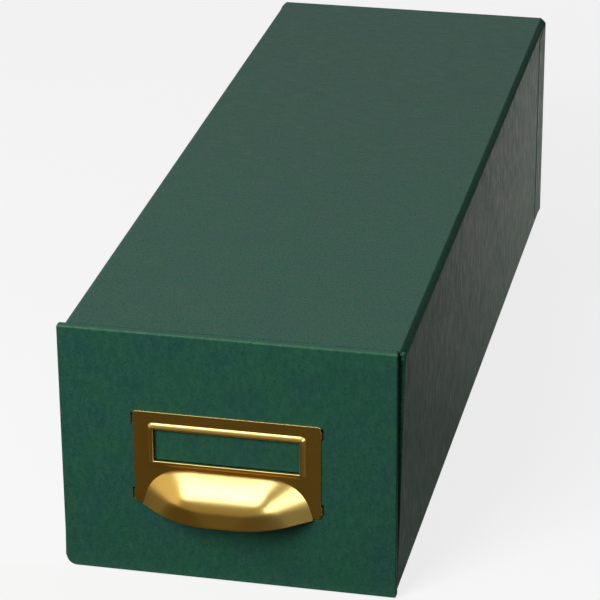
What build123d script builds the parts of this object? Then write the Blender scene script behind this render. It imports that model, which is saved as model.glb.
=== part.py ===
from build123d import *
import os

# A cardboard index card drawer: a sleeve of covered greyboard, closed at the back, and a tray
# that slides out of it behind a flat front panel with a stamped brass pull.
# X runs across the drawer, +Y towards the closed back and +Z up. The origin is the middle of
# the sleeve's underside. All sizes are in millimetres.

# ---- sleeve ----
SLEEVE_W = 115.0        # over the covering, across
SLEEVE_H = 90.3         # underside to top
SLEEVE_L = 337.7        # mouth to back
SLEEVE_BOARD = 2.5      # greyboard thickness
COVER_T = 0.3           # coated covering paper with its paste
EDGE_R = 2.3            # rounding of the boards along the four long edges
MOUTH_TURN_IN = 16.0    # covering turned into the mouth
TURN_UNDER = 14.0       # covering turned under the bottom board
BASE_INSET = 3.0        # edge of the underside sheet to the sleeve's side
BACK_LAP = 17.0         # back sheet turned forward on to the sides

# ---- front panel ----
PANEL_BOARD = 2.0
PANEL_SHY = 0.5         # panel short of the sleeve's side, each side
PANEL_LIFT = 0.5        # panel's lower edge above the table
PANEL_TURN_IN = 20.0    # covering turned on to the back of the panel
MOUTH_GAP = 0.3         # panel to sleeve, closed

# ---- tray ----
TRAY_BOARD = 2.0
SIDE_PLAY = 1.3         # tray to the turned-in covering, each side
UNDER_PLAY = 0.3        # tray to the turned-in covering, below
BACK_PLAY = 1.2         # tray to the sleeve's back board, closed
HEADROOM = 16.0         # top of the tray's walls to the sleeve's top board
TRAY_TURN_IN = 8.0      # covering turned over the walls' top edges
TRAY_TURN_UNDER = 12.0  # covering turned under the tray
LINING_T = 0.2          # lining paper

# ---- pull: one stamping with a label frame, a finger cup and four prongs ----
PLATE_T = 0.6
PLATE_W = 63.5
PLATE_DROP = 0.5        # middle of the plate below the middle of the panel
PLATE_CORNER_R = 0.8
FRAME_MARGIN = 4.8      # plate's side edge to the label frame
FRAME_TOP_MARGIN = 3.8  # plate's top edge to the label frame
FRAME_H = 16.0          # over the bead
BEAD_W = 2.2
BEAD_RISE = 1.1         # bead in front of the plate
BEAD_R = 0.9            # rounding of the bead
CUP_TO_FRAME = 0.4      # flat strip between the cup and the label frame
CUP_MARGIN = 2.6        # plate's side edge to the cup's tip
CUP_RISE = 13.8         # plate's lower edge to the cup's top
CUP_LIP = 0.7           # cup's rim below the plate's lower edge
CUP_OUT = 13.0          # cup's rim in front of the panel
CUP_BROW_IN = 1.6       # the cup's brow behind its rim
CUP_SHOULDER_IN = 6.8   # the cup's top corner in from its tip, on the plate
CUP_SHOULDER_R = 9.0
CUP_FRONT_MARGIN = 14.0  # the cup's tip to the corner of its front face, across
CUP_FRONT_H = 9.5
CUP_FRONT_LEAN = 1.5    # front face's top corner in from its lower one
CUP_FRONT_R = 5.0
CUP_BROW_R = 5.0        # softness of the edge round the cup's front face
PRONG_W = 3.0
PRONG_FOOT = 4.0        # bent end that clinches on the lining
PRONG_END_MARGIN = 1.5  # plate's top or lower edge to a prong
SLIT_CLEARANCE = 0.15   # round a prong, in the boards
RUN_OUT = 1.0           # how far the cup's hollow is carried on below its rim, to open it

# ---- places that follow from the sizes ----
MOUTH_Y = -SLEEVE_L / 2
REAR_Y = SLEEVE_L / 2
SHELL_X = SLEEVE_W / 2 - COVER_T            # outer face of the sleeve's side boards
SHELL_LOW = 2 * COVER_T                     # underside of the bottom board
SHELL_TOP = SLEEVE_H - COVER_T
SHELL_FRONT = MOUTH_Y + COVER_T
SHELL_REAR = REAR_Y - COVER_T
INNER_X = SHELL_X - SLEEVE_BOARD
INNER_LOW = SHELL_LOW + SLEEVE_BOARD
INNER_TOP = SHELL_TOP - SLEEVE_BOARD
WRAP_LOW = COVER_T
WRAP_R = EDGE_R + COVER_T

PANEL_W = SLEEVE_W - 2 * PANEL_SHY
PANEL_H = SLEEVE_H - PANEL_LIFT
PANEL_T = PANEL_BOARD + 2 * COVER_T
PANEL_MID_Z = PANEL_LIFT + PANEL_H / 2
PANEL_REAR = MOUTH_Y - MOUTH_GAP
PANEL_FACE = PANEL_REAR - PANEL_T

TRAY_X = INNER_X - COVER_T - SIDE_PLAY - COVER_T   # outer face of the tray's side boards
TRAY_LOW = INNER_LOW + COVER_T + UNDER_PLAY + COVER_T
TRAY_FLOOR = TRAY_LOW + TRAY_BOARD
TRAY_TOP = INNER_TOP - HEADROOM
TRAY_REAR = SHELL_REAR - SLEEVE_BOARD - BACK_PLAY - COVER_T
TRAY_IN_X = TRAY_X - TRAY_BOARD
TRAY_IN_FRONT = PANEL_REAR + TRAY_BOARD
TRAY_IN_REAR = TRAY_REAR - TRAY_BOARD

PLATE_H = CUP_RISE + CUP_TO_FRAME + FRAME_H + FRAME_TOP_MARGIN
PLATE_MID_Z = PANEL_MID_Z - PLATE_DROP
PLATE_LOW = PLATE_MID_Z - PLATE_H / 2
PLATE_TOP = PLATE_MID_Z + PLATE_H / 2
FRAME_W = PLATE_W - 2 * FRAME_MARGIN
FRAME_MID_Z = PLATE_TOP - FRAME_TOP_MARGIN - FRAME_H / 2
WINDOW_W = FRAME_W - 2 * BEAD_W
WINDOW_H = FRAME_H - 2 * BEAD_W
RIM_Z = PLATE_LOW - CUP_LIP
CUP_HALF_W = PLATE_W / 2 - CUP_MARGIN
CUP_H = CUP_RISE + CUP_LIP
PRONG_X = PLATE_W / 2 - PLATE_T / 2
PRONG_PLACES = [
    (side * PRONG_X, z)
    for side in (-1, 1)
    for z in (
        PLATE_LOW + PRONG_END_MARGIN + PRONG_W / 2,
        PLATE_TOP - PRONG_END_MARGIN - PRONG_W / 2,
    )
]
PRONG_END_Y = TRAY_IN_FRONT + LINING_T      # face that the prongs are clinched on


def facing(y):
    """The upright plane at y that looks towards the front, with Z as its second direction."""
    return Plane.XZ.offset(-y)


def block(x, y, z, mode=Mode.ADD):
    """A straight block in the part under way, between the low and high limits of x, y and z."""
    with BuildSketch(Plane.XY.offset(z[0])) as profile:
        with Locations(((x[0] + x[1]) / 2, (y[0] + y[1]) / 2)):
            Rectangle(x[1] - x[0], y[1] - y[0])
    extrude(profile.sketch, amount=z[1] - z[0], mode=mode)


def round_block(half_width, y, z, radius, mode=Mode.ADD):
    """A block across the drawer whose four long edges are rounded."""
    with BuildSketch(facing(y[1])) as profile:
        with Locations((0, (z[0] + z[1]) / 2)):
            RectangleRounded(2 * half_width, z[1] - z[0], radius)
    extrude(profile.sketch, amount=y[1] - y[0], mode=mode)


def prongs(clearance=0.0, mode=Mode.ADD):
    """The pull's four prongs, or the room for them with a clearance round each one.
    A prong goes straight back and its foot is bent in on the lining."""
    for x, z in PRONG_PLACES:
        inward = -1 if x > 0 else 1
        outer = x - inward * (PLATE_T / 2 + clearance)
        leg = sorted((outer, x + inward * (PLATE_T / 2 + clearance)))
        foot = sorted((outer, x + inward * (PRONG_FOOT + clearance)))
        across = (z - PRONG_W / 2 - clearance, z + PRONG_W / 2 + clearance)
        block(leg, (PANEL_FACE, PRONG_END_Y + PLATE_T), across, mode)
        block(foot, (PRONG_END_Y, PRONG_END_Y + PLATE_T), across, mode)


def save(piece, name):
    """Labels a finished piece and writes its file."""
    piece.part.label = name
    export_step(piece.part, f"parts/{name}.step")


os.makedirs("parts", exist_ok=True)

# ---- sleeve boards ----
# The top and bottom boards lie over the side boards, and their outer long edges are rounded.
for name, low, outer_side in (
    ("sleeve_top_board", INNER_TOP, 1),
    ("sleeve_bottom_board", SHELL_LOW, -1),
):
    with BuildPart() as flat_board:
        block((-SHELL_X, SHELL_X), (SHELL_FRONT, SHELL_REAR), (low, low + SLEEVE_BOARD))
        outer_face = flat_board.faces().sort_by(Axis.Z)[-1 if outer_side > 0 else 0]
        fillet(outer_face.edges().filter_by(Axis.Y), radius=EDGE_R)
    save(flat_board, name)

for name, side in (("sleeve_left_board", -1), ("sleeve_right_board", 1)):
    with BuildPart() as side_board:
        block(
            sorted((side * INNER_X, side * SHELL_X)),
            (SHELL_FRONT, SHELL_REAR),
            (INNER_LOW, INNER_TOP),
        )
    save(side_board, name)

with BuildPart() as back_board:
    block((-INNER_X, INNER_X), (SHELL_REAR - SLEEVE_BOARD, SHELL_REAR), (INNER_LOW, INNER_TOP))
save(back_board, "sleeve_back_board")

# ---- sleeve covering ----
# One sheet goes round the boards, is turned into the mouth and is turned under the bottom.
with BuildPart() as sleeve_cover:
    round_block(SLEEVE_W / 2, (MOUTH_Y, SHELL_REAR), (WRAP_LOW, SLEEVE_H), WRAP_R)
    round_block(
        SHELL_X, (SHELL_FRONT, SHELL_REAR), (SHELL_LOW, SHELL_TOP), EDGE_R, Mode.SUBTRACT
    )
    block(
        (-INNER_X, INNER_X),
        (MOUTH_Y, SHELL_FRONT),
        (INNER_LOW, INNER_TOP),
        Mode.SUBTRACT,
    )
    block((-INNER_X, INNER_X), (MOUTH_Y, MOUTH_Y + MOUTH_TURN_IN), (INNER_LOW, INNER_TOP))
    block(
        (-INNER_X + COVER_T, INNER_X - COVER_T),
        (MOUTH_Y, MOUTH_Y + MOUTH_TURN_IN),
        (INNER_LOW + COVER_T, INNER_TOP - COVER_T),
        Mode.SUBTRACT,
    )
    block(
        (-SHELL_X + TURN_UNDER, SHELL_X - TURN_UNDER),
        (MOUTH_Y + TURN_UNDER, SHELL_REAR),
        (WRAP_LOW, SHELL_LOW),
        Mode.SUBTRACT,
    )
save(sleeve_cover, "sleeve_cover")

# The underside sheet laps over the turned-under edges and is pressed up between them.
with BuildPart() as base_cover:
    block(
        (-SLEEVE_W / 2 + BASE_INSET, SLEEVE_W / 2 - BASE_INSET),
        (MOUTH_Y + BASE_INSET, REAR_Y - BASE_INSET),
        (0, COVER_T),
    )
    block(
        (-SHELL_X + TURN_UNDER, SHELL_X - TURN_UNDER),
        (MOUTH_Y + TURN_UNDER, REAR_Y - BASE_INSET),
        (COVER_T, SHELL_LOW),
    )
save(base_cover, "sleeve_base_cover")

# The back sheet is turned forward on to both sides, over the first sheet.
with BuildPart() as back_cover:
    round_block(SLEEVE_W / 2, (SHELL_REAR, REAR_Y), (WRAP_LOW, SLEEVE_H), WRAP_R)
    for lap in ((-SLEEVE_W / 2 - COVER_T, -SLEEVE_W / 2), (SLEEVE_W / 2, SLEEVE_W / 2 + COVER_T)):
        block(lap, (REAR_Y - BACK_LAP, REAR_Y), (WRAP_LOW + WRAP_R, SLEEVE_H - WRAP_R))
save(back_cover, "sleeve_back_cover")

# ---- front panel ----
PANEL_X = PANEL_W / 2
with BuildPart() as panel_board:
    block(
        (-PANEL_X + COVER_T, PANEL_X - COVER_T),
        (PANEL_FACE + COVER_T, PANEL_REAR - COVER_T),
        (PANEL_LIFT + COVER_T, SLEEVE_H - COVER_T),
    )
    prongs(SLIT_CLEARANCE, Mode.SUBTRACT)
save(panel_board, "front_panel_board")

# The panel's covering goes over its four edges and on to its back.
with BuildPart() as panel_cover:
    block((-PANEL_X, PANEL_X), (PANEL_FACE, PANEL_REAR), (PANEL_LIFT, SLEEVE_H))
    block(
        (-PANEL_X + COVER_T, PANEL_X - COVER_T),
        (PANEL_FACE + COVER_T, PANEL_REAR - COVER_T),
        (PANEL_LIFT + COVER_T, SLEEVE_H - COVER_T),
        Mode.SUBTRACT,
    )
    block(
        (-PANEL_X + PANEL_TURN_IN, PANEL_X - PANEL_TURN_IN),
        (PANEL_REAR - COVER_T, PANEL_REAR),
        (PANEL_LIFT + PANEL_TURN_IN, SLEEVE_H - PANEL_TURN_IN),
        Mode.SUBTRACT,
    )
    prongs(SLIT_CLEARANCE, Mode.SUBTRACT)
save(panel_cover, "front_panel_cover")

# ---- tray boards ----
with BuildPart() as tray_bottom:
    block((-TRAY_X, TRAY_X), (PANEL_REAR, TRAY_REAR), (TRAY_LOW, TRAY_FLOOR))
save(tray_bottom, "tray_bottom_board")

for name, side in (("tray_left_board", -1), ("tray_right_board", 1)):
    with BuildPart() as tray_side:
        block(
            sorted((side * TRAY_IN_X, side * TRAY_X)),
            (PANEL_REAR, TRAY_REAR),
            (TRAY_FLOOR, TRAY_TOP),
        )
    save(tray_side, name)

with BuildPart() as tray_front:
    block((-TRAY_IN_X, TRAY_IN_X), (PANEL_REAR, TRAY_IN_FRONT), (TRAY_FLOOR, TRAY_TOP))
    prongs(SLIT_CLEARANCE, Mode.SUBTRACT)
save(tray_front, "tray_front_board")

with BuildPart() as tray_back:
    block((-TRAY_IN_X, TRAY_IN_X), (TRAY_IN_REAR, TRAY_REAR), (TRAY_FLOOR, TRAY_TOP))
save(tray_back, "tray_back_board")

# ---- tray covering and lining ----
# The covering goes round the sides and the back, under the edges and over the tops of all four
# walls.
with BuildPart() as tray_cover:
    block(
        (-TRAY_X - COVER_T, TRAY_X + COVER_T),
        (PANEL_REAR, TRAY_REAR + COVER_T),
        (TRAY_LOW - COVER_T, TRAY_TOP + COVER_T),
    )
    block((-TRAY_X, TRAY_X), (PANEL_REAR, TRAY_REAR), (TRAY_LOW, TRAY_TOP), Mode.SUBTRACT)
    block(
        (-TRAY_X + TRAY_TURN_UNDER, TRAY_X - TRAY_TURN_UNDER),
        (PANEL_REAR, TRAY_REAR - TRAY_TURN_UNDER),
        (TRAY_LOW - COVER_T, TRAY_LOW),
        Mode.SUBTRACT,
    )
    block(
        (-TRAY_IN_X, TRAY_IN_X),
        (TRAY_IN_FRONT, TRAY_IN_REAR),
        (TRAY_TOP - TRAY_TURN_IN, TRAY_TOP + COVER_T),
    )
    block(
        (-TRAY_IN_X + COVER_T, TRAY_IN_X - COVER_T),
        (TRAY_IN_FRONT + COVER_T, TRAY_IN_REAR - COVER_T),
        (TRAY_TOP - TRAY_TURN_IN, TRAY_TOP + COVER_T),
        Mode.SUBTRACT,
    )
    prongs(SLIT_CLEARANCE, Mode.SUBTRACT)
save(tray_cover, "tray_cover")

# The lining covers the floor and the walls up to the edge of the turned-over covering.
with BuildPart() as tray_lining:
    block(
        (-TRAY_IN_X, TRAY_IN_X),
        (TRAY_IN_FRONT, TRAY_IN_REAR),
        (TRAY_FLOOR, TRAY_TOP - TRAY_TURN_IN),
    )
    block(
        (-TRAY_IN_X + LINING_T, TRAY_IN_X - LINING_T),
        (TRAY_IN_FRONT + LINING_T, TRAY_IN_REAR - LINING_T),
        (TRAY_FLOOR + LINING_T, TRAY_TOP - TRAY_TURN_IN),
        Mode.SUBTRACT,
    )
    prongs(SLIT_CLEARANCE, Mode.SUBTRACT)
save(tray_lining, "tray_lining")


# ---- pull ----
def cup_outline(plane, half_width, height, shoulder_in, radius, below):
    """A low arch on the plane's own X axis: slanted sides, a straight top, rounded shoulders."""
    foot = half_width + below * shoulder_in / height
    with BuildSketch(plane) as arch:
        with BuildLine():
            Polyline(
                (-foot, -below),
                (foot, -below),
                (half_width - shoulder_in, height),
                (-half_width + shoulder_in, height),
                close=True,
            )
        make_face()
        fillet(arch.vertices().group_by(Axis.Y)[-1], radius=radius)
    return arch.sketch


def cup_form(inset=0.0, below=0.0):
    """The cup as a solid, drawn in by inset all round and carried on below its rim."""
    rest = Plane(origin=(0, PANEL_FACE, RIM_Z), x_dir=(1, 0, 0), z_dir=(0, -1, 0))
    front = Plane(
        origin=(0, PANEL_FACE - CUP_OUT + inset, RIM_Z),
        x_dir=(1, 0, 0),
        z_dir=(0, -CUP_FRONT_H, CUP_BROW_IN),
    )
    front_half_w = CUP_HALF_W - CUP_FRONT_MARGIN
    with BuildPart() as form:
        rest_arch = cup_outline(
            rest,
            CUP_HALF_W - inset,
            CUP_H - inset,
            CUP_SHOULDER_IN,
            CUP_SHOULDER_R - inset,
            below,
        )
        front_arch = cup_outline(
            front,
            front_half_w - inset,
            CUP_FRONT_H - inset,
            CUP_FRONT_LEAN,
            CUP_FRONT_R - inset,
            below,
        )
        loft([rest_arch, front_arch], ruled=True)
        brow = form.faces().sort_by(Axis.Y)[0].edges().sort_by(Axis.Z)[1:]
        fillet(brow, radius=CUP_BROW_R - inset)
    return form.part


# The cup is drawn out of the same sheet as the plate, so the sheet is open behind it.
with BuildPart() as pull:
    with BuildSketch(facing(PANEL_FACE)):
        with Locations((0, PLATE_MID_Z)):
            RectangleRounded(PLATE_W, PLATE_H, PLATE_CORNER_R)
    extrude(amount=PLATE_T)
    add(cup_form())
    add(cup_form(inset=PLATE_T, below=RUN_OUT), mode=Mode.SUBTRACT)
    # label frame
    with BuildSketch(facing(PANEL_FACE - PLATE_T)):
        with Locations((0, FRAME_MID_Z)):
            Rectangle(FRAME_W, FRAME_H)
    extrude(amount=BEAD_RISE)
    with BuildSketch(facing(PANEL_FACE)):
        with Locations((0, FRAME_MID_Z)):
            Rectangle(WINDOW_W, WINDOW_H)
    extrude(amount=PLATE_T + BEAD_RISE, mode=Mode.SUBTRACT)
    bead_face = pull.faces().filter_by(Axis.Y).sort_by(Axis.Y)[0]
    fillet(bead_face.edges(), radius=BEAD_R)
    prongs()
save(pull, "pull_plate")
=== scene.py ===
import math

import bmesh
import bpy
from mathutils import Matrix, Vector


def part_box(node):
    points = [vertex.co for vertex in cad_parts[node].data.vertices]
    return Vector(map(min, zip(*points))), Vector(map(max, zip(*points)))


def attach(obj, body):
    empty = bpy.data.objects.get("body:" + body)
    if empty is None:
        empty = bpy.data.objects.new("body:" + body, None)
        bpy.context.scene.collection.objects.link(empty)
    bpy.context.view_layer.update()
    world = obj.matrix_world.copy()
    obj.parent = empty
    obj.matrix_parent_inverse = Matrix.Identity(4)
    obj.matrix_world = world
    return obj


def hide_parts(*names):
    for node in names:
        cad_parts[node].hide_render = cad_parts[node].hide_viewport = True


# The index card drawer: a covered cardboard sleeve, and a tray with a flat front panel that
# slides out of it by a stamped brass pull. X runs across, +Y to the closed back, +Z up.
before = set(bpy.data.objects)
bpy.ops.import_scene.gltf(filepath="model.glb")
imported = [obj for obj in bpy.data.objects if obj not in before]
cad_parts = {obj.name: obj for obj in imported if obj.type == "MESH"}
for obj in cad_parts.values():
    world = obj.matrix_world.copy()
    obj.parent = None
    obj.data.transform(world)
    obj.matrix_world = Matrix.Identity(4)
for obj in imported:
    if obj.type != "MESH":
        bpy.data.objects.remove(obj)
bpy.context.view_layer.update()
bpy.ops.object.select_all(action="DESELECT")
MM = 0.001

# ---------------------------------------------------------------------------- camera
# The photograph looks down on the front from a little to the right, through a long lens. Its
# place comes from the corners of the panel and of the sleeve's top.
CAMERA_PLACE = Vector((202.9, -969.7, 477.8)) * MM
CAMERA_FORWARD = Vector((-0.19805, 0.88879, -0.41332))
CAMERA_UP = Vector((-0.08252, 0.40505, 0.91056))
LENS_MM = 168.7
SENSOR_MM = 36.0
camera_data = bpy.data.cameras.new("camera")
camera_data.lens = LENS_MM
camera_data.sensor_width = SENSOR_MM
camera = bpy.data.objects.new("camera", camera_data)
bpy.context.scene.collection.objects.link(camera)
camera_back = -CAMERA_FORWARD.normalized()
camera_right = CAMERA_UP.cross(camera_back).normalized()
camera_axes = Matrix((camera_right, camera_back.cross(camera_right), camera_back)).transposed()
camera.matrix_world = Matrix.Translation(CAMERA_PLACE) @ camera_axes.to_4x4()
bpy.context.scene.camera = camera
bpy.context.scene.view_settings.view_transform = "Standard"


# ---------------------------------------------------------------------------- studio
# A white paper floor in a pale room, one softbox in front on the left and one behind, both above
# the object, and pale and dark cards out of the picture that only shiny surfaces show.
def colour(hex_code):
    """The linear value of an sRGB hex colour."""
    shares = [int(hex_code[i : i + 2], 16) / 255 for i in (1, 3, 5)]
    return [s / 12.92 if s <= 0.04045 else ((s + 0.055) / 1.055) ** 2.4 for s in shares] + [1]


def node(tree, kind, sockets=None, **settings):
    """Adds a node with its settings; sockets holds a value or an output for each input."""
    made = tree.nodes.new("ShaderNode" + kind)
    for name, value in settings.items():
        setattr(made, name, value)
    for name, value in (sockets or {}).items():
        if isinstance(value, bpy.types.NodeSocket):
            tree.links.new(value, made.inputs[name])
        else:
            made.inputs[name].default_value = value
    return made


def empty_material(name):
    """A new material with no nodes in it yet."""
    made = bpy.data.materials.new(name)
    made.use_nodes = True
    made.node_tree.nodes.clear()
    return made


MIRRORED_WHITE = 0.12       # the share of plain white that polished things show


def white_share(tree, path, seen, always=0.0):
    """How white a surface is: always by one share, more where the camera sees it and a little
    more where a polished thing shows it."""
    mirrored = node(tree, "Math", {0: path.outputs["Is Glossy Ray"],
                                   1: path.outputs["Is Transmission Ray"]}, operation="MAXIMUM")
    direct = node(tree, "Math", {0: path.outputs["Is Camera Ray"], 1: seen, 2: always},
                  operation="MULTIPLY_ADD")
    return node(tree, "Math", {0: mirrored.outputs[0], 1: MIRRORED_WHITE, 2: direct.outputs[0]},
                operation="MULTIPLY_ADD").outputs[0]


# Matt paper off a roll: it has no shine, and shows nothing but the object's soft shadow. To the
# camera it is nearly white, and what it throws back at the object is as from a greyer sheet.
FLOOR_SIZE = 12.0
FLOOR_DROP = 0.05 * MM      # under the sleeve's sheet, so that the two are not in one plane
FLOOR_PAPER = "#939393"
FLOOR_SEEN = "#F2F2F2"
FLOOR_WHITE = 0.8           # the share of plain white that the camera sees
bpy.ops.mesh.primitive_plane_add(size=FLOOR_SIZE, location=(0, 0, -FLOOR_DROP))
floor = bpy.context.active_object
floor.name = "floor"
floor_finish = empty_material("studio_paper_roll")
tree = floor_finish.node_tree
path = node(tree, "LightPath")
floor_tone = node(tree, "Mix", {"Factor": path.outputs["Is Camera Ray"], "A": colour(FLOOR_PAPER),
                                "B": colour(FLOOR_SEEN)}, data_type="RGBA")
paper_roll = node(tree, "BsdfDiffuse", {"Color": floor_tone.outputs["Result"]})
white = node(tree, "Emission", {"Strength": 1.0})
mixed = node(tree, "MixShader", {0: white_share(tree, path, FLOOR_WHITE), 1: paper_roll.outputs[0],
                                 2: white.outputs[0]})
node(tree, "OutputMaterial", {"Surface": mixed.outputs[0]})
floor.data.materials.append(floor_finish)


def softbox(name, place, aim, size, watts):
    """A square lamp at a place, turned to what it lights. Shiny surfaces do not show it."""
    lamp = bpy.data.lights.new(name, "AREA")
    lamp.shape = "SQUARE"
    lamp.size = size
    lamp.energy = watts
    holder = bpy.data.objects.new(name, lamp)
    bpy.context.scene.collection.objects.link(holder)
    holder.location = place
    holder.rotation_euler = (Vector(aim) - Vector(place)).to_track_quat("-Z", "Y").to_euler()
    holder.visible_glossy = False


FRONT_WATTS, BACK_WATTS = 9.1, 8
softbox("front_softbox", (-0.35, -0.85, 0.6), (0, -0.1, 0.06), 0.5, FRONT_WATTS)
softbox("back_softbox", (0.1, 1.7, 0.55), (0, 0.15, 0.04), 0.6, BACK_WATTS)

AIR_LIGHT = 0.16            # what the room throws on the object
AIR_SEEN = 0.84             # as pale as the floor's far edge
world = bpy.data.worlds.new("studio_air")
bpy.context.scene.world = world
world.use_nodes = True
tree = world.node_tree
tree.nodes.clear()
path = node(tree, "LightPath")
air_strength = white_share(tree, path, AIR_SEEN - AIR_LIGHT, AIR_LIGHT)
air = node(tree, "Background", {"Color": colour("#FFFFFF"), "Strength": air_strength})
node(tree, "OutputWorld", {"Surface": air.outputs[0]})


def card(name, low, high, brightness, tint="#FFFBF1", fade=None, faint=0.0):
    """A glowing card that only shiny surfaces show, flat between two corners. Its brightness may
    come up from faint along Y between two places."""
    bpy.ops.object.select_all(action="DESELECT")
    middle = [(a + b) / 2 for a, b in zip(low, high)]
    bpy.ops.mesh.primitive_cube_add(size=1, location=middle)
    made = bpy.context.active_object
    made.name = name
    made.scale = [b - a for a, b in zip(low, high)]
    made.visible_camera = made.visible_diffuse = made.visible_shadow = False
    finish_of_card = empty_material(name)
    tree = finish_of_card.node_tree
    glow = node(tree, "Emission", {"Color": colour(tint), "Strength": brightness})
    if fade:
        place = node(tree, "NewGeometry").outputs["Position"]
        along_y = node(tree, "SeparateXYZ", {"Vector": place}).outputs["Y"]
        fading = node(tree, "MapRange", {"Value": along_y, "From Min": fade[0], "From Max": fade[1],
                                         "To Min": faint, "To Max": brightness})
        tree.links.new(fading.outputs[0], glow.inputs["Strength"])
    node(tree, "OutputMaterial", {"Surface": glow.outputs[0]})
    made.data.materials.append(finish_of_card)
    return made


# Low in front, and dark: the plate and the front of the cup face it and go a deep gold. It also
# hides the floor there from the panel, which is lit less from below.
dark_card = card("dark_card_in_front", (-1.0, -1.8, 0.001), (0.9, -0.174, 0.002), 0.066, "#FFEAAE")
dark_card.visible_diffuse = True
# On the left: a weak light on the left side of the cup.
card("pale_card_left", (-0.56, -0.6, 0.01), (-0.55, 0.15, 0.85), 1.0, "#EEF0FF")
# On the right: the bright wedge on the right side of the cup.
card_right = card("pale_card_right", (0.45, -0.75, 0.1), (0.46, -0.2, 0.6), 7.2, "#9CB4FF")
# Behind: the cool sheen on the sleeve's top.
card("pale_card_behind", (-1.2, 1.2, 0.4), (0.3, 1.21, 1.3), 0.76, "#EFFBFF")
# Flat on the floor on the right: the side's sheen, which grows towards the back.
card("pale_card_on_floor", (0.058, -0.15, 0.001), (0.16, 1.1, 0.002), 1.14, "#FAF8F1",
     (-0.05, 0.45), 0.25)
# Overhead: the cream top of the cup and of the bead. It is bluish because brass takes out blue.
card_above = card("pale_card_above", (-0.75, -0.7, 0.9), (0.14, 0.08, 0.901), 10.6, "#96AEFF",
                  (-0.78, -0.4))
# Beyond the pale one and behind it: they end the side's sheen.
card("dark_card_on_floor", (0.16, -0.15, 0.001), (1.3, 1.2, 0.002), 0.02)
card("dark_card_behind", (0.31, 1.2, 0.0), (1.3, 1.21, 0.9), 0.01)

# ---------------------------------------------------------------------------- sleeve boards
# Five pieces of greyboard, pressed grey waste paper 2.5 mm thick, glued at their edges. The top
# and bottom boards have their outer long edges rounded before they are covered. The inside of
# the sleeve shows them bare.
X, Y, Z = 0, 1, 2
BOARD_CORNER = 0.12 * MM
ROUND_EDGE = 2.0 * MM
SHOULDER = 0.31             # sanded nearer to a slant than to a quarter round
NEAR = 0.01 * MM            # closer than this is in one place
FACING = 0.9                # how much of its normal a face has along the axis it faces
STRAIGHT = 0.99             # and how much of its length an edge has along its own


def cube(name, low, high):
    """Adds a cube primitive between two corners, as an object with its origin at 0, and goes
    into edit mode."""
    bpy.ops.object.select_all(action="DESELECT")
    add_cube(low, high)
    bpy.ops.object.transform_apply(location=True, rotation=True, scale=True)
    made = bpy.context.active_object
    made.name = made.data.name = name
    bpy.ops.object.mode_set(mode="EDIT")
    return made


def add_cube(low, high):
    """Adds a cube primitive between two corners."""
    middle = [(a + b) / 2 for a, b in zip(low, high)]
    size = [b - a for a, b in zip(low, high)]
    bpy.ops.mesh.primitive_cube_add(size=1, location=middle, scale=size)


def choose(kind, test):
    """Selects, in edit mode, only the faces or edges that pass a test."""
    bpy.ops.mesh.select_mode(type=kind)
    bpy.ops.mesh.select_all(action="DESELECT")
    mesh = bmesh.from_edit_mesh(bpy.context.object.data)
    mesh.normal_update()
    for item in mesh.faces if kind == "FACE" else mesh.edges:
        item.select_set(test(item))
    bmesh.update_edit_mesh(bpy.context.object.data)


def at(item, axis, place):
    """Whether a whole face or edge is at one place on an axis."""
    return all(abs(v.co[axis] - place) < NEAR for v in item.verts)


def along(edge, axis):
    """Whether an edge runs along an axis."""
    step = edge.verts[1].co - edge.verts[0].co
    return abs(step[axis]) > STRAIGHT * step.length


def cut_across(axis, places):
    """Cuts the whole mesh, in edit mode, at places on an axis."""
    for place in places:
        point, direction = [0, 0, 0], [0, 0, 0]
        point[axis] = place
        direction[axis] = 1
        bpy.ops.mesh.select_all(action="SELECT")
        bpy.ops.mesh.bisect(plane_co=point, plane_no=direction)


def steps(low, high, count):
    """Places that divide a length into equal runs."""
    return [low + (high - low) * i / count for i in range(1, count)]


def apply(piece, kind, **settings):
    """Gives a piece a modifier and applies it."""
    modifier = piece.modifiers.new(kind.lower(), kind)
    for name, value in settings.items():
        setattr(modifier, name, value)
    bpy.context.view_layer.objects.active = piece
    bpy.ops.object.modifier_apply(modifier=modifier.name)


SMOOTH_ANGLE = math.radians(40)


def finish(piece, material, body, nodes):
    """Shades a modelled piece, gives it its finish and hands it to its body."""
    bpy.ops.object.select_all(action="DESELECT")
    piece.select_set(True)
    bpy.context.view_layer.objects.active = piece
    bpy.ops.object.shade_smooth_by_angle(angle=SMOOTH_ANGLE)
    apply(piece, "WEIGHTED_NORMAL", keep_sharp=True)
    piece.data.materials.clear()
    piece.data.materials.append(material)
    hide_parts(*nodes)
    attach(piece, body)


# Handling has racked the sleeve: its mouth leans to the right, less and less towards the back.
sleeve_low, sleeve_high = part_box("sleeve_cover")
sleeve_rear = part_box("sleeve_back_cover")[1].y
MOUTH_LEAN = 2.3 * MM       # top of the mouth to the right of its bottom
MOUTH_SHIFT = 0.5 * MM      # middle of the mouth to the right


def rack(piece):
    """Leans a piece of the sleeve over with the mouth."""
    for vertex in piece.data.vertices:
        height = vertex.co.z / sleeve_high.z - 0.5
        nearness = (sleeve_rear - vertex.co.y) / (sleeve_rear - sleeve_low.y)
        vertex.co.x += (MOUTH_LEAN * height + MOUTH_SHIFT) * nearness


LENGTH_CUTS = steps(sleeve_low.y, sleeve_rear, 10)
HEIGHT_CUTS = steps(sleeve_low.z, sleeve_high.z, 5)

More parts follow.
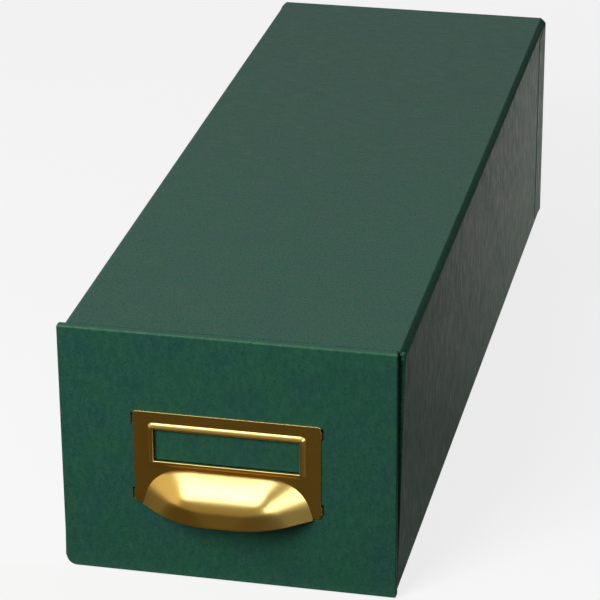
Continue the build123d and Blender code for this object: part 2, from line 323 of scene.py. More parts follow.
# Pressed waste paper: dull and warm grey, uneven in tone, with darker flecks of old print that
# lie in slight hollows. It has no shine.
BOARD_GREY = "#857D6F"
BOARD_PALE = "#978F80"
BOARD_FLECK = "#5E584E"
FLECK_MM = 1.1
BOARD_CLOUD_MM = 22
HOLLOW = 0.1 * MM
greyboard = empty_material("greyboard_pressed_waste_paper")
tree = greyboard.node_tree
place = node(tree, "TexCoord").outputs["Object"]
flecks = node(tree, "TexNoise", {"Vector": place, "Scale": 1 / (FLECK_MM * MM), "Detail": 3.0})
cloud = node(tree, "TexNoise", {"Vector": place, "Scale": 1 / (BOARD_CLOUD_MM * MM), "Detail": 2.0})
fleck_mask = node(tree, "MapRange", {"Value": flecks.outputs["Fac"], "From Min": 0.58, "From Max": 0.7})
ground = node(tree, "Mix", {"Factor": cloud.outputs["Fac"], "A": colour(BOARD_GREY),
                            "B": colour(BOARD_PALE)}, data_type="RGBA")
flecked = node(tree, "Mix", {"Factor": fleck_mask.outputs[0], "A": ground.outputs["Result"],
                             "B": colour(BOARD_FLECK)}, data_type="RGBA")
hollows = node(tree, "Bump", {"Height": flecks.outputs["Fac"], "Strength": 0.4, "Distance": HOLLOW})
pressed = node(tree, "BsdfPrincipled", {"Base Color": flecked.outputs["Result"], "Roughness": 0.9,
                                        "Specular IOR Level": 0.2, "Normal": hollows.outputs[0]})
node(tree, "OutputMaterial", {"Surface": pressed.outputs[0]})

for name in ("top", "bottom", "left", "right", "back"):
    node_name = f"sleeve_{name}_board"
    low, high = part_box(node_name)
    board = cube(f"sleeve_{name}_greyboard", low, high)
    if name in ("top", "bottom"):
        outside = high.z if name == "top" else low.z
        choose("EDGE", lambda e: along(e, Y) and at(e, Z, outside))
        bpy.ops.mesh.bevel(offset=ROUND_EDGE, segments=6, profile=SHOULDER, affect="EDGES")
    choose("EDGE", lambda e: not along(e, Y) and (at(e, Y, low.y) or at(e, Y, high.y)))
    bpy.ops.mesh.bevel(offset=BOARD_CORNER, segments=2, affect="EDGES")
    cut_across(Y, LENGTH_CUTS)
    cut_across(Z, HEIGHT_CUTS)
    bpy.ops.object.mode_set(mode="OBJECT")
    rack(board)
    finish(board, greyboard, "sleeve", [node_name])

# ---------------------------------------------------------------------------- sleeve covering
# One sheet of dark green coated bookbinding paper, glued round the boards from the underside,
# turned 16 mm into the mouth and 14 mm under the bottom. Its fibres run round the sleeve, which
# handling has left with a small pleat at the mouth.
PAPER = 0.3 * MM
WRAP_EDGE = ROUND_EDGE + PAPER
MOUTH_CORNER = 0.5 * MM
FOLD = 0.18 * MM            # rounding where the paper is folded over a board's edge
MOUTH_TURN_IN = 16 * MM
TURN_UNDER = 14 * MM

# Coated bookbinding paper: half matt, deep green where it is looked at squarely, with a grey
# sheen at a flat angle that the fibres pressed into the coating break into fine streaks. Pores
# and fibres are drawn a few times coarser than the real ones, to show.
PAPER_GREEN = "#245440"
PAPER_GREEN_COOL = "#244E46"
PAPER_RUBBED = "#34684F"    # on the fibres' crests
PAPER_DEEP = "#123A2C"      # in the pores between them
PAPER_FOLD_HIGHLIGHT = "#4B7C5D"      # painted highlight along a fold, pale green
# how near the fold the painted highlight is full, and where it has faded out
FOLD_HIGHLIGHT_FULL, FOLD_HIGHLIGHT_END = 0.4 * MM, 0.8 * MM
PORE_MM = 0.7
CLOUD_MM = 14
TOOTH_DEPTH = 0.05 * MM
HALF_MATT = 0.48
FIBRE_GLOSS = 0.06          # the fibres make it this much more or less matt


def covering_paper(name, fibre_mm, depth, tooth=0.5, highlighted_fold=None):
    """The green covering: fibre_mm is how long its fibres are along X, Y and Z, depth is how
    strongly they show and tooth how rough they feel. The last, if given, is a point of a fold
    along X, along which a pale highlight is painted."""
    made = empty_material(name)
    tree = made.node_tree
    place = node(tree, "TexCoord").outputs["Object"]
    fibre_place = node(tree, "Mapping", {"Vector": place, "Scale": [1 / (mm * MM) for mm in fibre_mm]})
    fibres = node(tree, "TexNoise", {"Vector": fibre_place.outputs[0], "Scale": 1.0, "Detail": 3.0,
                                     "Roughness": 0.65})
    pores = node(tree, "TexNoise", {"Vector": place, "Scale": 1 / (PORE_MM * MM), "Detail": 2.0})
    clouds = node(tree, "TexNoise", {"Vector": place, "Scale": 1 / (CLOUD_MM * MM), "Detail": 3.0})
    cloud_share = node(tree, "MapRange", {"Value": clouds.outputs["Fac"], "From Min": 0.36,
                                          "From Max": 0.64})
    tone = node(tree, "Mix", {"Factor": cloud_share.outputs[0], "A": colour(PAPER_GREEN),
                              "B": colour(PAPER_GREEN_COOL)}, data_type="RGBA")
    fibre_share = node(tree, "MapRange", {"Value": fibres.outputs["Fac"], "From Min": 0.4,
                                          "From Max": 0.75, "To Max": 0.5 * depth})
    fibred = node(tree, "Mix", {"Factor": fibre_share.outputs[0], "A": tone.outputs["Result"],
                                "B": colour(PAPER_RUBBED)}, data_type="RGBA")
    pore_share = node(tree, "MapRange", {"Value": pores.outputs["Fac"], "From Min": 0.5,
                                         "From Max": 0.75, "To Max": 0.65 * depth})
    pored = node(tree, "Mix", {"Factor": pore_share.outputs[0], "A": fibred.outputs["Result"],
                               "B": colour(PAPER_DEEP)}, data_type="RGBA")
    # a pale highlight painted along the fold, broken up by the fibres
    if highlighted_fold:
        in_section = node(tree, "VectorMath", {0: place, 1: (0, 1, 1),
                                               2: (0, -highlighted_fold.y, -highlighted_fold.z)},
                          operation="MULTIPLY_ADD")
        from_fold = node(tree, "VectorMath", {0: in_section.outputs[0]}, operation="LENGTH")
        on_fold = node(tree, "MapRange", {"Value": from_fold.outputs["Value"], "From Min": FOLD_HIGHLIGHT_END,
                                          "From Max": FOLD_HIGHLIGHT_FULL})
        patchy = node(tree, "MapRange", {"Value": fibres.outputs["Fac"], "From Min": 0.3,
                                         "To Min": 0.35})
        fold_highlight = node(tree, "Math", {0: on_fold.outputs[0], 1: patchy.outputs[0]}, operation="MULTIPLY")
        pored = node(tree, "Mix", {"Factor": fold_highlight.outputs[0], "A": pored.outputs["Result"],
                                   "B": colour(PAPER_FOLD_HIGHLIGHT)}, data_type="RGBA")
    gloss = node(tree, "MapRange", {"Value": fibres.outputs["Fac"], "From Min": 0.3,
                                    "From Max": 0.7, "To Min": HALF_MATT - FIBRE_GLOSS * depth,
                                    "To Max": HALF_MATT + FIBRE_GLOSS * depth})
    relief = node(tree, "Math", {0: fibres.outputs["Fac"], 1: pores.outputs["Fac"]}, operation="ADD")
    bump = node(tree, "Bump", {"Height": relief.outputs[0], "Strength": tooth,
                               "Distance": TOOTH_DEPTH})
    coated = node(tree, "BsdfPrincipled", {"Base Color": pored.outputs["Result"],
                                           "Roughness": gloss.outputs[0],
                                           "Specular IOR Level": 0.3, "Normal": bump.outputs[0]})
    node(tree, "OutputMaterial", {"Surface": coated.outputs[0]})
    return made


wrap_paper = covering_paper("coated_paper_round_the_sleeve", (7, 1.2, 7), 2.4)
wrap = cube("sleeve_wrap", sleeve_low, sleeve_high)
choose("EDGE", lambda e: along(e, Y))
bpy.ops.mesh.bevel(offset=WRAP_EDGE, segments=8, profile=SHOULDER, affect="EDGES")
choose("FACE", lambda f: at(f, Y, sleeve_low.y) or at(f, Y, sleeve_high.y))
bpy.ops.mesh.delete(type="ONLY_FACE")

# at the mouth it is turned in over the ends of the boards
mouth_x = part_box("sleeve_right_board")[0].x - PAPER
mouth_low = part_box("sleeve_bottom_board")[1].z + PAPER
mouth_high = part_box("sleeve_top_board")[0].z - PAPER
add_cube((-mouth_x, sleeve_low.y, mouth_low), (mouth_x, sleeve_low.y + MOUTH_TURN_IN, mouth_high))
choose("EDGE", lambda e: along(e, Y) and abs(e.verts[0].co.x) < mouth_x + NEAR
       and mouth_low - NEAR < e.verts[0].co.z < mouth_high + NEAR
       and not at(e, Z, sleeve_low.z) and not at(e, Z, sleeve_high.z))
bpy.ops.mesh.bevel(offset=MOUTH_CORNER, segments=8, affect="EDGES")
choose("FACE", lambda f: at(f, Y, sleeve_low.y) or at(f, Y, sleeve_low.y + MOUTH_TURN_IN))
bpy.ops.mesh.delete(type="ONLY_FACE")
choose("FACE", lambda f: max(v.co.y for v in f.verts) < sleeve_low.y + MOUTH_TURN_IN + NEAR)
bpy.ops.mesh.flip_normals()
choose("EDGE", lambda e: at(e, Y, sleeve_low.y))
bpy.ops.mesh.bridge_edge_loops()
choose("EDGE", lambda e: at(e, Y, sleeve_low.y) and len(e.link_faces) == 2
       and any(abs(f.normal.y) < FACING for f in e.link_faces))
bpy.ops.mesh.bevel(offset=FOLD, segments=3, affect="EDGES")

# under the bottom it stops short of the middle
choose("FACE", lambda f: at(f, Z, sleeve_low.z))
bpy.ops.mesh.inset(thickness=TURN_UNDER, depth=0, use_boundary=False)
bpy.ops.mesh.delete(type="FACE")
cut_across(Y, LENGTH_CUTS)
cut_across(Z, HEIGHT_CUTS)
bpy.ops.object.mode_set(mode="OBJECT")
apply(wrap, "SOLIDIFY", thickness=PAPER, offset=-1)

# the surplus at the mouth's upper right corner is pinched into a small pleat beside the panel
PLEAT_W, PLEAT_H, PLEAT_OUT = 1.3 * MM, 2.4 * MM, 1.4 * MM
PLEAT_IN, PLEAT_DOWN = 0.6 * MM, 0.7 * MM
PLEAT_ROUND = 0.22 * MM
PLEAT_FOOT = 0.3 * MM       # this much of its lower end is pressed back and to the right
PLEAT_PRESS = (0.3 * MM, 0.7 * MM, 0)
pleat_x = sleeve_high.x - PLEAT_IN
pleat_z = sleeve_high.z - PLEAT_DOWN
pleat = cube("pleat", (pleat_x - PLEAT_W, sleeve_low.y - PLEAT_OUT, pleat_z - PLEAT_H),
             (pleat_x, sleeve_low.y + PAPER, pleat_z))
choose("EDGE", lambda e: not at(e, Y, sleeve_low.y + PAPER))
bpy.ops.mesh.bevel(offset=PLEAT_ROUND, segments=3, affect="EDGES")
choose("FACE", lambda f: min(v.co.z for v in f.verts) < pleat_z - PLEAT_H + PLEAT_FOOT)
bpy.ops.transform.translate(value=PLEAT_PRESS)
bpy.ops.object.mode_set(mode="OBJECT")
bpy.ops.object.select_all(action="DESELECT")
pleat.select_set(True)
wrap.select_set(True)
bpy.context.view_layer.objects.active = wrap
bpy.ops.object.join()
rack(wrap)
finish(wrap, wrap_paper, "sleeve", ["sleeve_cover"])

# ---------------------------------------------------------------------------- back sheet
# The last sheet closes the back. It is cut to the back's rounded outline and its two ears are
# turned forward and glued on to the sides, where their edges stay visible.
BACK_FOLD = 0.9 * MM
EAR_TAPER = 0.955           # an ear's free edge is this much of its fold's height
EAR_RUBBED = 0.13 * MM      # its free edge is rubbed down into the paper under it
back_low, back_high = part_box("sleeve_back_cover")
back_sheet = cube("back_sheet", back_low, back_high)
choose("FACE", lambda f: not at(f, Y, back_high.y))
bpy.ops.mesh.delete(type="FACE")
bpy.ops.mesh.select_all(action="SELECT")
bpy.ops.mesh.bevel(offset=WRAP_EDGE, segments=8, profile=SHOULDER, affect="VERTICES")
choose("EDGE", lambda e: at(e, X, back_low.x) or at(e, X, back_high.x))
bpy.ops.mesh.extrude_edges_move(TRANSFORM_OT_translate={"value": (0, back_low.y - back_high.y, 0)})
choose("EDGE", lambda e: at(e, Y, back_low.y))
middle_z = (back_low.z + back_high.z) / 2
bpy.ops.transform.resize(value=(1, 1, EAR_TAPER), center_override=(0, 0, middle_z))
choose("EDGE", lambda e: along(e, Z) and at(e, Y, back_high.y))
bpy.ops.mesh.bevel(offset=BACK_FOLD, segments=5, affect="EDGES")
bpy.ops.mesh.select_all(action="SELECT")
bpy.ops.mesh.remove_doubles(threshold=NEAR)
bpy.ops.mesh.select_all(action="SELECT")
bpy.ops.mesh.normals_make_consistent(inside=False)
bpy.ops.object.mode_set(mode="OBJECT")
apply(back_sheet, "SOLIDIFY", thickness=PAPER, offset=-1)
for vertex in back_sheet.data.vertices:
    if vertex.co.y < back_low.y + NEAR and abs(vertex.co.x) > back_high.x - NEAR:
        vertex.co.x -= math.copysign(EAR_RUBBED, vertex.co.x)
rack(back_sheet)
finish(back_sheet, wrap_paper, "sleeve", ["sleeve_back_cover"])

# ---------------------------------------------------------------------------- underside sheet
# A sheet of the same paper, cut 3 mm smaller than the sleeve all round and with rounded corners,
# is glued over the turned-under edges and rubbed down between them.
SHEET_CORNER = 3 * MM
SHEET_MARGIN = 3 * MM       # of the covering that it leaves bare
base_paper = covering_paper("coated_paper_under_the_sleeve", (7, 1.2, 7), 0.8, tooth=0.15)
base_low, base_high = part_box("sleeve_base_cover")
base_sheet = cube("underside_sheet", base_low, (base_high.x, base_high.y, base_low.z + PAPER))
choose("EDGE", lambda e: along(e, Z))
bpy.ops.mesh.bevel(offset=SHEET_CORNER, segments=5, affect="EDGES")


def between(item, axis, low, high):
    """Whether a whole face or edge lies between two places on an axis."""
    return all(low - NEAR < v.co[axis] < high + NEAR for v in item.verts)


def choose_middle(axis, place, spans):
    """Cuts the mesh, in edit mode, at the ends of spans on the other axes, and selects what lies
    between them of its flat face at a place on this axis."""
    for other, ends in spans.items():
        cut_across(other, ends)
    choose("FACE", lambda f: at(f, axis, place)
           and all(between(f, other, *ends) for other, ends in spans.items()))


overlap = TURN_UNDER - SHEET_MARGIN     # the sheet lies on the turned-under paper this far in
choose_middle(Z, base_low.z + PAPER, {X: (base_low.x + overlap, base_high.x - overlap),
                                      Y: (base_low.y + overlap, base_high.y - overlap)})
rubbed_down = (0, 0, base_high.z - base_low.z - PAPER)
bpy.ops.mesh.extrude_region_move(TRANSFORM_OT_translate={"value": rubbed_down})
cut_across(Y, LENGTH_CUTS)
bpy.ops.object.mode_set(mode="OBJECT")
rack(base_sheet)
finish(base_sheet, base_paper, "sleeve", ["sleeve_base_cover"])

# ---------------------------------------------------------------------------- front panel
# A 2 mm board, covered front and edges with the same paper, its fibres upright, and cut with
# four slits for the pull's prongs. Knocks have blunted its lower left corner, and a pale
# highlight is painted along its upper fold.
PANEL_TURN_IN = 20 * MM
SOFT_CORNER = 0.7 * MM
KNOCKED_CORNER = 3.6 * MM
PANEL_FOLD = 0.55 * MM
PANEL_BACK_FOLD = 0.1 * MM
SLIT_W = 1.55 * MM
SLIT_H = 4.3 * MM
SLIT_UNDER = 0.7 * MM       # how far a slit starts under the plate
panel_low, panel_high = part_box("front_panel_cover")
pull_low, pull_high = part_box("pull_plate")
CUP_LIP = 0.7 * MM
plate_low = pull_low.z + CUP_LIP
plate_high = pull_high.z
PRONG_FROM_EDGE = 3 * MM
prong_heights = [plate_low + PRONG_FROM_EDGE, plate_high - PRONG_FROM_EDGE]
# its upper fold gets a painted highlight
panel_paper = covering_paper("coated_paper_on_the_panel", (1.5, 3.2, 3.2), 0.8,
                             highlighted_fold=Vector((0, panel_low.y, panel_high.z)))


def pierce(low_x, high_x, low_z, high_z, walled=True):
    """Opens a hole through a flat upright piece, in edit mode, and walls it round."""
    def inside(item):
        return between(item, X, low_x, high_x) and between(item, Z, low_z, high_z)

    cut_across(X, (low_x, high_x))
    cut_across(Z, (low_z, high_z))
    choose("FACE", lambda f: abs(f.normal.y) > FACING and inside(f))
    bpy.ops.mesh.delete(type="FACE")
    if walled:
        choose("EDGE", lambda e: e.is_boundary and inside(e))
        bpy.ops.mesh.bridge_edge_loops()


slits = []
for side in (-1, 1):
    ends = sorted((side * (pull_high.x - SLIT_UNDER), side * (pull_high.x - SLIT_UNDER + SLIT_W)))
    slits += [(*ends, height - SLIT_H / 2, height + SLIT_H / 2) for height in prong_heights]

panel_wrap = cube("panel_wrap", panel_low, panel_high)
choose("EDGE", lambda e: along(e, Y) and at(e, X, panel_low.x) and at(e, Z, panel_low.z))
bpy.ops.mesh.bevel(offset=KNOCKED_CORNER, segments=8, affect="EDGES")
choose("EDGE", lambda e: along(e, Y) and (at(e, X, panel_high.x) or at(e, Z, panel_high.z))
       and (at(e, X, panel_high.x) or at(e, X, panel_low.x))
       and (at(e, Z, panel_high.z) or at(e, Z, panel_low.z)))
bpy.ops.mesh.bevel(offset=SOFT_CORNER, segments=4, affect="EDGES")
choose("EDGE", lambda e: at(e, Y, panel_low.y))
bpy.ops.mesh.bevel(offset=PANEL_FOLD, segments=5, affect="EDGES")
choose("EDGE", lambda e: at(e, Y, panel_high.y))
bpy.ops.mesh.bevel(offset=PANEL_BACK_FOLD, segments=3, affect="EDGES")
choose_middle(Y, panel_high.y, {X: (panel_low.x + PANEL_TURN_IN, panel_high.x - PANEL_TURN_IN),
                                Z: (panel_low.z + PANEL_TURN_IN, panel_high.z - PANEL_TURN_IN)})
bpy.ops.mesh.delete(type="FACE")
for slit in slits:
    pierce(*slit, walled=False)
bpy.ops.object.mode_set(mode="OBJECT")
apply(panel_wrap, "SOLIDIFY", thickness=PAPER, offset=-1)
finish(panel_wrap, panel_paper, "drawer", ["front_panel_cover"])

board_low, board_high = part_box("front_panel_board")
panel_board = cube("panel_greyboard", board_low, board_high)
choose("EDGE", lambda e: along(e, Y) and at(e, X, board_low.x) and at(e, Z, board_low.z))
bpy.ops.mesh.bevel(offset=KNOCKED_CORNER, segments=8, affect="EDGES")
choose("EDGE", lambda e: at(e, Y, board_low.y))
bpy.ops.mesh.bevel(offset=PANEL_FOLD - PAPER, segments=3, affect="EDGES")
for slit in slits:
    pierce(*slit)
bpy.ops.object.mode_set(mode="OBJECT")
finish(panel_board, greyboard, "drawer", ["front_panel_board"])

# ---------------------------------------------------------------------------- tray
# Five pieces of greyboard, glued at their edges and to the back of the panel. The green paper goes
# round the outside, 12 mm under the bottom and 8 mm over the tops of the walls.
for name in ("bottom", "left", "right", "front", "back"):
    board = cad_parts[f"tray_{name}_board"]
    board.data.materials.clear()
    board.data.materials.append(greyboard)

TRAY_TURN_IN = 8 * MM
TRAY_TURN_UNDER = 12 * MM
tray_paper = covering_paper("coated_paper_round_the_tray", (1.1, 1.1, 7), 1.2)
tray_low, tray_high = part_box("tray_cover")
tray_in_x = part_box("tray_right_board")[0].x - PAPER
tray_in_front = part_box("tray_front_board")[1].y + PAPER
tray_in_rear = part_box("tray_back_board")[0].y - PAPER
tray_wrap = cube("tray_wrap", tray_low, tray_high)
choose("EDGE", lambda e: along(e, Z) and at(e, Y, tray_high.y))
bpy.ops.mesh.bevel(offset=FOLD, segments=3, affect="EDGES")
choose("FACE", lambda f: at(f, Z, tray_high.z) or at(f, Y, tray_low.y))
bpy.ops.mesh.delete(type="ONLY_FACE")
turned_to = tray_high.z - TRAY_TURN_IN
add_cube((-tray_in_x, tray_in_front, turned_to), (tray_in_x, tray_in_rear, tray_high.z))
choose("FACE", lambda f: at(f, Z, tray_high.z) or at(f, Z, turned_to))
bpy.ops.mesh.delete(type="ONLY_FACE")
choose("FACE", lambda f: between(f, Z, turned_to, tray_high.z))
bpy.ops.mesh.flip_normals()
choose("EDGE", lambda e: at(e, Z, tray_high.z))
bpy.ops.mesh.bridge_edge_loops()
choose("EDGE", lambda e: at(e, Z, tray_high.z) and len(e.link_faces) == 2
       and any(abs(f.normal.z) < FACING for f in e.link_faces))
bpy.ops.mesh.bevel(offset=FOLD, segments=3, affect="EDGES")
choose_middle(Z, tray_low.z, {X: (tray_low.x + TRAY_TURN_UNDER, tray_high.x - TRAY_TURN_UNDER),
                              Y: (tray_low.y, tray_high.y - TRAY_TURN_UNDER)})
bpy.ops.mesh.delete(type="FACE")
bpy.ops.object.mode_set(mode="OBJECT")
apply(tray_wrap, "SOLIDIFY", thickness=PAPER, offset=-1)
finish(tray_wrap, tray_paper, "drawer", ["tray_cover"])

# ---------------------------------------------------------------------------- lining
# Plain paper glued to the tray's floor and up its inner walls, under the green paper's edge. It
# is creased into the corners, and the prongs of the pull are clinched on it.
LINING = 0.2 * MM
CREASE = 0.8 * MM

# Uncoated paper: chalky and warm white, a little uneven in tone, with no shine. Its felt side's
# tooth shows close up, and is drawn coarser than it is.
LINING_WHITE = "#D9D3C5"
LINING_SHADE = "#CDC6B6"
FELT_MM = 1.4
SHADE_MM = 30
lining_paper = empty_material("uncoated_lining_paper")
tree = lining_paper.node_tree
place = node(tree, "TexCoord").outputs["Object"]
felt = node(tree, "TexNoise", {"Vector": place, "Scale": 1 / (FELT_MM * MM), "Detail": 4.0})
shade = node(tree, "TexNoise", {"Vector": place, "Scale": 1 / (SHADE_MM * MM), "Detail": 2.0})
tint = node(tree, "Mix", {"Factor": shade.outputs["Fac"], "A": colour(LINING_SHADE),
                          "B": colour(LINING_WHITE)}, data_type="RGBA")
felt_bump = node(tree, "Bump", {"Height": felt.outputs["Fac"], "Strength": 0.35,
                                "Distance": TOOTH_DEPTH})
uncoated = node(tree, "BsdfPrincipled", {"Base Color": tint.outputs["Result"], "Roughness": 0.85,
                                         "Specular IOR Level": 0.25, "Normal": felt_bump.outputs[0]})
node(tree, "OutputMaterial", {"Surface": uncoated.outputs[0]})

lining_low, lining_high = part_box("tray_lining")
lining = cube("tray_lining_paper", lining_low + Vector((LINING, LINING, LINING)),
              lining_high - Vector((LINING, LINING, 0)))
choose("FACE", lambda f: f.normal.z > FACING)
bpy.ops.mesh.delete(type="FACE")
choose("EDGE", lambda e: len(e.link_faces) == 2)
bpy.ops.mesh.bevel(offset=CREASE, segments=3, affect="EDGES")
bpy.ops.mesh.select_all(action="SELECT")
bpy.ops.mesh.flip_normals()
bpy.ops.object.mode_set(mode="OBJECT")
apply(lining, "SOLIDIFY", thickness=LINING, offset=-1)
finish(lining, lining_paper, "drawer", ["tray_lining"])

# ---------------------------------------------------------------------------- pull
# One stamping of brass-plated steel sheet, 0.6 mm thick, lacquered: a flat plate with a beaded
# window for the label and a finger cup drawn out of it. Four prongs hold it to the panel.
SHEET = 0.6 * MM
PLATE_CORNER = 0.8 * MM
SHEARED_EDGE = 0.2 * MM

# Brass plate under lacquer: satin, so it mirrors softly and shows light and dark as broad bands
# with soft edges, dark gold to cream. The lacquer adds a paler, wider gloss. The plating is a
# little uneven, and its grain, drawn coarser than it is, only just shows.
BRASS = "#EEBA48"
GRAIN_MM = 0.45
GRAIN_DEPTH = 0.02 * MM
WAVE_MM = 9
SATIN = (0.27, 0.34)
brass = empty_material("lacquered_brass_plate")
tree = brass.node_tree
place = node(tree, "TexCoord").outputs["Object"]
grain = node(tree, "TexNoise", {"Vector": place, "Scale": 1 / (GRAIN_MM * MM), "Detail": 3.0})
wave = node(tree, "TexNoise", {"Vector": place, "Scale": 1 / (WAVE_MM * MM), "Detail": 1.0})
satin = node(tree, "MapRange", {"Value": wave.outputs["Fac"], "To Min": SATIN[0], "To Max": SATIN[1]})
grain_bump = node(tree, "Bump", {"Height": grain.outputs["Fac"], "Strength": 0.12,
                                 "Distance": GRAIN_DEPTH})
plated = node(tree, "BsdfPrincipled", {"Base Color": colour(BRASS), "Metallic": 1.0,
                                       "Roughness": satin.outputs[0], "Coat Weight": 0.6,
                                       "Coat Roughness": 0.25, "Normal": grain_bump.outputs[0]})
node(tree, "OutputMaterial", {"Surface": plated.outputs[0]})

# the plate, with its window
FRAME_W, FRAME_H = 53.9 * MM, 16.0 * MM
FRAME_TOP_MARGIN = 3.8 * MM
BEAD_W = 2.2 * MM
BEAD_RISE = 1.1 * MM
BEAD_CORNER = 1.8 * MM
BEAD_SLOPE = 1.6 * MM       # the outer side is drawn up gently
BEAD_PROFILE = 0.42
BEAD_INNER = 0.35 * MM      # the inner edge is turned back sharply
panel_face = panel_low.y
plate_front = panel_face - SHEET
frame_high = plate_high - FRAME_TOP_MARGIN
frame_low = frame_high - FRAME_H
window = (BEAD_W - FRAME_W / 2, FRAME_W / 2 - BEAD_W, frame_low + BEAD_W, frame_high - BEAD_W)
plate = cube("stamped_pull", (pull_low.x, plate_front, plate_low),
             (pull_high.x, panel_face, plate_high))
choose("EDGE", lambda e: along(e, Y))
bpy.ops.mesh.bevel(offset=PLATE_CORNER, segments=5, affect="EDGES")
choose("EDGE", lambda e: at(e, Y, plate_front))
bpy.ops.mesh.bevel(offset=SHEARED_EDGE, segments=3, affect="EDGES")
pierce(*window)
bpy.ops.object.mode_set(mode="OBJECT")

# The finger cup: a sloping top, a nearly upright front and slanting sides. The punch that drew
# it ran them together, softly at the plate and the rim and closer at the brow.
CUP_HALF_W = 29.15 * MM
CUP_RISE = 14.5 * MM
CUP_OUT = 12.9 * MM - SHEET
SIDE_SLANT = Vector((0.632, 0.751, 0.189))
TOP_SLANT = Vector((0, 0.490, 0.872))
FRONT_SLANT = Vector((0, 0.985, 0.172))
NOSE_RUN = (7.0 * MM, 2.4 * MM)     # between front and side: at the rim, at the brow
HIP_RUN = (8.8 * MM, 2.6 * MM)      # between these and the top: at the plate, at the brow
BROW_HEIGHT = 0.55                  # of the rise, where front and side come to meet most closely
CUP_COLUMNS, CUP_ROWS = 110, 44
FARTHEST = 2.0                      # the surface is nearer than this along any ray
HALVINGS = 40                       # of the ray, to find it


def meet(first, second, run):
    """The greater of two depths, rounded over where they are within a run of each other."""
    nearness = max(1 - abs(first - second) / run, 0)
    return max(first, second) + run * nearness**2 / 4


def cup_depth(point):
    """How far a point lies outside the cup. It is given across, outwards and up from the middle
    of the cup's foot."""
    flank = Vector((abs(point.x), point.y, point.z)).dot(SIDE_SLANT) - CUP_HALF_W * SIDE_SLANT.x
    front = point.dot(FRONT_SLANT) - CUP_OUT * FRONT_SLANT.y
    top = point.dot(TOP_SLANT) - CUP_RISE * TOP_SLANT.z
    rise = min(max(point.z / (CUP_RISE * BROW_HEIGHT), 0), 1)
    reach = min(max(point.y / CUP_OUT, 0), 1)
    nose = meet(front, flank, NOSE_RUN[0] + (NOSE_RUN[1] - NOSE_RUN[0]) * rise)
    return meet(nose, top, HIP_RUN[0] + (HIP_RUN[1] - HIP_RUN[0]) * reach)


def cup_point(across, forward):
    """The cup's surface in a direction: across runs from tip to tip, forward from the plate to
    the rim, both as angles."""
    ray = Vector((CUP_HALF_W * math.sin(across),
                  CUP_OUT * math.cos(across) * math.sin(forward),
                  CUP_RISE * math.cos(across) * math.cos(forward)))
    near, far = 0.0, FARTHEST
    for _ in range(HALVINGS):
        middle = (near + far) / 2
        if cup_depth(ray * middle) > 0:
            far = middle
        else:
            near = middle
    return ray * near


POLE = 0.002 * MM           # the grid's columns run together closer than this at the tips
RIM_ROUND = 0.15 * MM
RIM_ANGLE = math.radians(60)
cup_foot = Vector((0, plate_front, pull_low.z))
bpy.ops.object.select_all(action="DESELECT")
bpy.ops.mesh.primitive_grid_add(x_subdivisions=CUP_COLUMNS, y_subdivisions=CUP_ROWS, size=1)
cup = bpy.context.active_object
for vertex in cup.data.vertices:
    found = cup_point(vertex.co.x * math.pi, (vertex.co.y + 0.5) * math.pi / 2)
    vertex.co = cup_foot + Vector((found.x, -found.y, found.z))
bpy.ops.object.mode_set(mode="EDIT")
bpy.ops.mesh.select_all(action="SELECT")
bpy.ops.mesh.remove_doubles(threshold=POLE)
bpy.ops.mesh.select_all(action="SELECT")
bpy.ops.mesh.normals_make_consistent(inside=False)
bpy.ops.object.mode_set(mode="OBJECT")
apply(cup, "SOLIDIFY", thickness=SHEET, offset=-1)
apply(cup, "BEVEL", width=RIM_ROUND, segments=2, limit_method="ANGLE", angle_limit=RIM_ANGLE)

# the plate is open behind the cup
OPEN_ACROSS, OPEN_UP = 0.97, 0.95   # of the cup's outline at the plate
PAST = 1.0 * MM             # the cutter reaches this far past the plate
SLIVER = 0.001 * MM
arch = [cup_point(math.pi * (i / CUP_COLUMNS - 0.5), 0) for i in range(1, CUP_COLUMNS)]
bpy.ops.object.select_all(action="DESELECT")
bpy.ops.mesh.primitive_circle_add(vertices=len(arch) + 2, radius=1, fill_type="NGON")
hollow = bpy.context.active_object
low_z = pull_low.z - PAST
outline = [(p.x * OPEN_ACROSS, p.z * OPEN_UP + pull_low.z) for p in arch]
outline = [(outline[0][0], low_z)] + outline + [(outline[-1][0], low_z)]
for vertex, (x, z) in zip(hollow.data.vertices, outline):
    vertex.co = (x, plate_front - PAST, z)
bpy.ops.object.mode_set(mode="EDIT")
bpy.ops.mesh.select_all(action="SELECT")
bpy.ops.mesh.extrude_region_move(TRANSFORM_OT_translate={"value": (0, SHEET + 2 * PAST, 0)})
bpy.ops.mesh.select_all(action="SELECT")
bpy.ops.mesh.normals_make_consistent(inside=False)
bpy.ops.object.mode_set(mode="OBJECT")
apply(plate, "BOOLEAN", object=hollow, operation="DIFFERENCE", solver="EXACT")
bpy.data.objects.remove(hollow)
for part in (cup, plate):
    bpy.ops.object.select_all(action="DESELECT")
    bpy.context.view_layer.objects.active = part
    bpy.ops.object.mode_set(mode="EDIT")
    bpy.ops.mesh.select_all(action="SELECT")
    bpy.ops.mesh.dissolve_degenerate(threshold=SLIVER)
    bpy.ops.object.mode_set(mode="OBJECT")

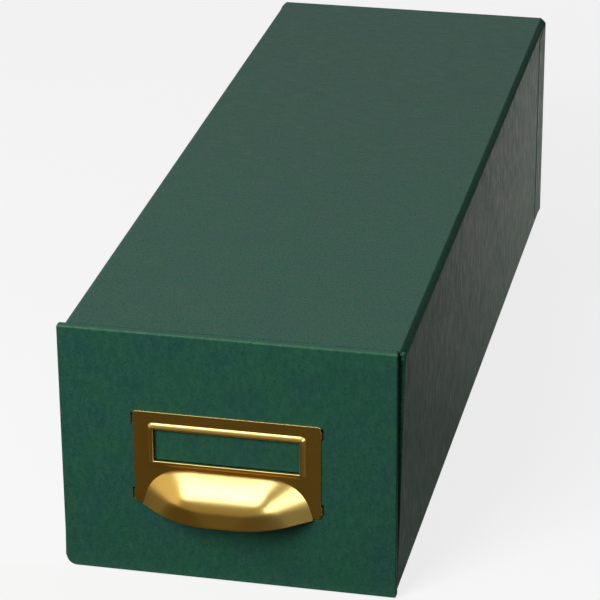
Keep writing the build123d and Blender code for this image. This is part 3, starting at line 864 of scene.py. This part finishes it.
# the half-round bead round the window, its inner edge turned back to the panel
bead_top = plate_front - BEAD_RISE
bead = cube("bead", (-FRAME_W / 2, bead_top, frame_low), (FRAME_W / 2, panel_face, frame_high))
choose("EDGE", lambda e: along(e, Y))
bpy.ops.mesh.bevel(offset=BEAD_CORNER, segments=6, affect="EDGES")
choose("EDGE", lambda e: at(e, Y, bead_top))
bpy.ops.mesh.bevel(offset=BEAD_SLOPE, segments=8, profile=BEAD_PROFILE, affect="EDGES")
pierce(*window)
choose("EDGE", lambda e: at(e, Y, bead_top) and not e.is_boundary
       and any(abs(f.normal.y) < FACING for f in e.link_faces)
       and any(f.normal.y < -FACING for f in e.link_faces)
       and between(e, X, *window[:2]) and between(e, Z, *window[2:]))
bpy.ops.mesh.bevel(offset=BEAD_INNER, segments=4, affect="EDGES")
bpy.ops.object.mode_set(mode="OBJECT")

# four prongs: tabs on the plate's ends, bent back through the slits and clinched on the lining
PRONG_W = 3.0 * MM
PRONG_ROOT = 1.0 * MM       # in the plate
PRONG_FOOT = 4.0 * MM       # on the lining
TAB_OUT = 0.4 * MM
TAB_BEND = 0.5 * MM
prongs = []
for side in (-1, 1):
    for height in prong_heights:
        ends = sorted((side * (pull_high.x - PRONG_ROOT), side * (pull_high.x + TAB_OUT)))
        prong = cube("prong", (ends[0], plate_front + NEAR, height - PRONG_W / 2),
                     (ends[1], panel_face, height + PRONG_W / 2))
        choose("FACE", lambda f: not f.normal.y < -FACING)
        bpy.ops.mesh.delete(type="FACE")
        choose("EDGE", lambda e: at(e, X, side * (pull_high.x + TAB_OUT)))
        bpy.ops.mesh.extrude_edges_move(
            TRANSFORM_OT_translate={"value": (0, pull_high.y - plate_front - NEAR, 0)})
        choose("EDGE", lambda e: at(e, Y, pull_high.y))
        bpy.ops.mesh.extrude_edges_move(
            TRANSFORM_OT_translate={"value": (-side * (PRONG_FOOT + TAB_OUT), 0, 0)})
        choose("EDGE", lambda e: along(e, Z) and len(e.link_faces) == 2)
        bpy.ops.mesh.bevel(offset=TAB_BEND, segments=4, affect="EDGES")
        bpy.ops.object.mode_set(mode="OBJECT")
        apply(prong, "SOLIDIFY", thickness=SHEET, offset=-1)
        prongs.append(prong)

bpy.ops.object.select_all(action="DESELECT")
for part in (cup, bead, *prongs, plate):
    part.select_set(True)
bpy.context.view_layer.objects.active = plate
bpy.ops.object.join()
finish(plate, brass, "drawer", ["pull_plate"])

# the two brightest cards are for the metal, and the paper does not show them
metal_only = bpy.data.collections.new("metal_only")
metal_only.objects.link(plate)
for bright_card in (card_above, card_right):
    bright_card.light_linking.receiver_collection = metal_only
